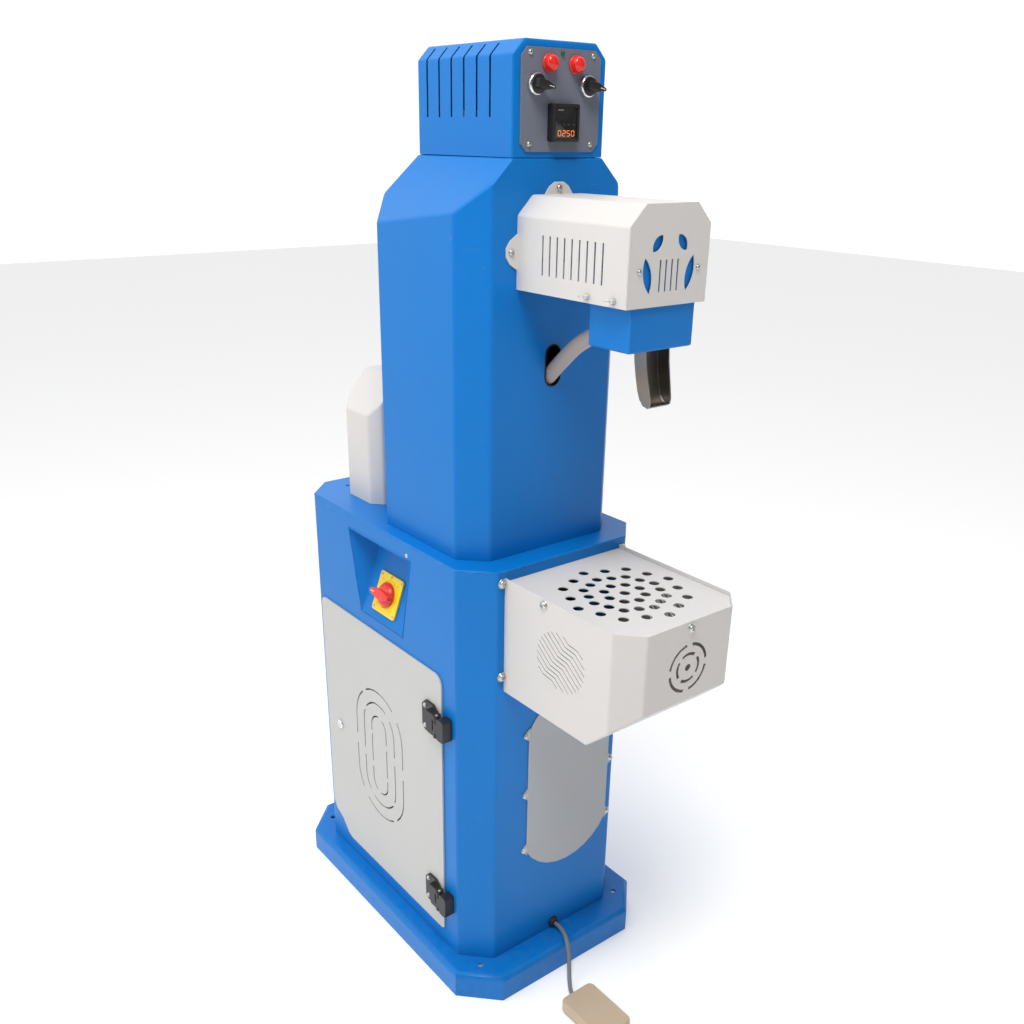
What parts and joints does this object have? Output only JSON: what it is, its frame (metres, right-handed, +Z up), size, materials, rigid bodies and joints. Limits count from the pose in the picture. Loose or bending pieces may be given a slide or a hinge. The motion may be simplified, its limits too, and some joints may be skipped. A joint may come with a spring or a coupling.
{
  "type": "hot-air boot machine",
  "caption": "Free-standing hot-air machine for boots and skates: cabinet, column, arm with air nozzle, perforated warm-air box, door, isolator and foot switch.",
  "frame": {"origin": "middle of the plinth's underside, on the floor", "axes": "+Z up, -Y towards the operator (arm, box and pedal side), -X towards the door side"},
  "size_m": [0.436, 0.8984, 1.59],
  "materials": {
    "blue_paint": "satin azure-blue powder coat, fine orange peel",
    "cream_paint": "satin warm-white powder coat, fine orange peel",
    "door_grey": "satin light-grey powder coat",
    "cover_grey": "satin mid-grey powder coat",
    "panel_grey": "matt slate-grey powder coat",
    "black_plastic": "matt black moulded plastic",
    "red_plastic": "semi-gloss red moulded plastic",
    "yellow_plastic": "satin yellow moulded plastic",
    "red_lens": "glossy red translucent lens",
    "green_lens": "glossy dark green lens",
    "chrome": "polished chrome plate",
    "steel": "bare steel, slightly heat-tinted",
    "cast_metal": "as-cast aluminium",
    "ceramic": "matt unglazed ceramic",
    "hose_rubber": "taupe silicone hose",
    "cable_grey": "matt grey cable sheath",
    "pedal_tan": "satin tan moulded plastic",
    "black_rubber": "matt black rubber",
    "board_plastic": "light-grey electrical moulding"
  },
  "bodies": {
    "machine": {"plinth": "blue_paint", "cabinet_shell": "blue_paint", "cabinet_top": "blue_paint", "isolator_pocket": "blue_paint", "column_shell": "blue_paint", "control_box": "blue_paint", "nozzle_block": "blue_paint", "cabinet_rear_panel": "cream_paint", "arm_cover": "cream_paint", "arm_face": "cream_paint", "box_shell": "cream_paint", "blower_cover": "cream_paint", "service_plate": "cover_grey", "control_panel": "panel_grey", "upper_hinge_frame_half": "black_plastic", "lower_hinge_frame_half": "black_plastic", "isolator_body": "black_plastic", "temperature_controller": "black_plastic", "box_fan_frame": "black_plastic", "pedal_switch": "black_plastic", "mains_gland": "black_plastic", "isolator_plate": "yellow_plastic", "lamp_left": "red_lens", "lamp_right": "red_lens", "pilot_light": "green_lens", "selector_collar_left": "chrome", "selector_collar_right": "chrome", "upper_hinge_pin": "steel", "lower_hinge_pin": "steel", "arm_bracket": "steel", "nozzle": "steel", "box_heater": "steel", "blower_duct": "steel", "pedal_pin": "steel", "blower_housing": "cast_metal", "blower_motor": "cast_metal", "hose_reducer": "cast_metal", "heater_tube": "ceramic", "heater_core": "ceramic", "air_hose": "hose_rubber", "pedal_cable": "cable_grey", "pedal_base": "pedal_tan", "hose_slot_trim": "black_rubber", "cable_grommet": "black_rubber", "heater_contactor": "board_plastic", "terminal_strip": "board_plastic"},
    "door": {"door": "door_grey", "upper_hinge_door_half": "black_plastic", "lower_hinge_door_half": "black_plastic", "door_lock_body": "chrome"},
    "door_lock": {"door_lock_core": "chrome"},
    "isolator_knob": {"isolator_handle": "red_plastic"},
    "left_selector": {"selector_handle_left": "black_plastic"},
    "right_selector": {"selector_handle_right": "black_plastic"},
    "treadle": {"pedal_treadle": "pedal_tan"},
    "impeller": {"blower_impeller": "cast_metal"},
    "fan_rotor": {"box_fan_rotor": "black_plastic"},
    "front_wing_screw": {"wing_screw_front": "steel"},
    "rear_wing_screw": {"wing_screw_rear": "steel"},
    "box_grille": {"box_top": "cream_paint"}
  },
  "joints": [
    {"name": "door_hinge", "type": "hinge", "parent": "machine", "child": "door", "pos_m": [-0.2005, -0.195, 0.36], "axis": [0, 0, 1], "range_deg": [0, 110]},
    {"name": "door_lock_turn", "type": "hinge", "parent": "door", "child": "door_lock", "pos_m": [-0.1903, 0.1702, 0.359], "axis": [-1, 0, 0], "range_deg": [0, 90]},
    {"name": "isolator_turn", "type": "hinge", "parent": "machine", "child": "isolator_knob", "pos_m": [-0.16848, 0, 0.7035], "axis": [-0.9391, 0, 0.3436], "range_deg": [0, 90]},
    {"name": "left_selector_turn", "type": "hinge", "parent": "machine", "child": "left_selector", "pos_m": [-0.0474, -0.2373, 1.5335], "axis": [0, -1, 0], "range_deg": [0, 90]},
    {"name": "right_selector_turn", "type": "hinge", "parent": "machine", "child": "right_selector", "pos_m": [0.0474, -0.2373, 1.5335], "axis": [0, -1, 0], "range_deg": [0, 90]},
    {"name": "treadle_press", "type": "hinge", "parent": "machine", "child": "treadle", "pos_m": [-0.0502, -0.4219, 0.0185], "axis": [1, 0, 0], "range_deg": [0, 4.5], "stiffness_Nm_per_rad": 6, "springref_deg": -5.73},
    {"name": "blower_spin", "type": "hinge", "parent": "machine", "child": "impeller", "pos_m": [0, 0.131, 0.925], "axis": [0, 1, 0], "continuous": true},
    {"name": "box_fan_spin", "type": "hinge", "parent": "machine", "child": "fan_rotor", "pos_m": [0, -0.2672, 0.748], "axis": [0, 1, 0], "continuous": true},
    {"name": "front_wing_screw_turn", "type": "hinge", "parent": "machine", "child": "front_wing_screw", "pos_m": [-0.0754, -0.4454, 1.268], "axis": [-1, 0, 0], "range_deg": [0, 360]},
    {"name": "rear_wing_screw_turn", "type": "hinge", "parent": "machine", "child": "rear_wing_screw", "pos_m": [-0.0754, -0.3935, 1.268], "axis": [-1, 0, 0], "range_deg": [0, 360]},
    {"name": "box_grille_lift", "type": "slide", "parent": "machine", "child": "box_grille", "axis": [0, 0, 1], "range_m": [0, 0.06]}
  ]
}
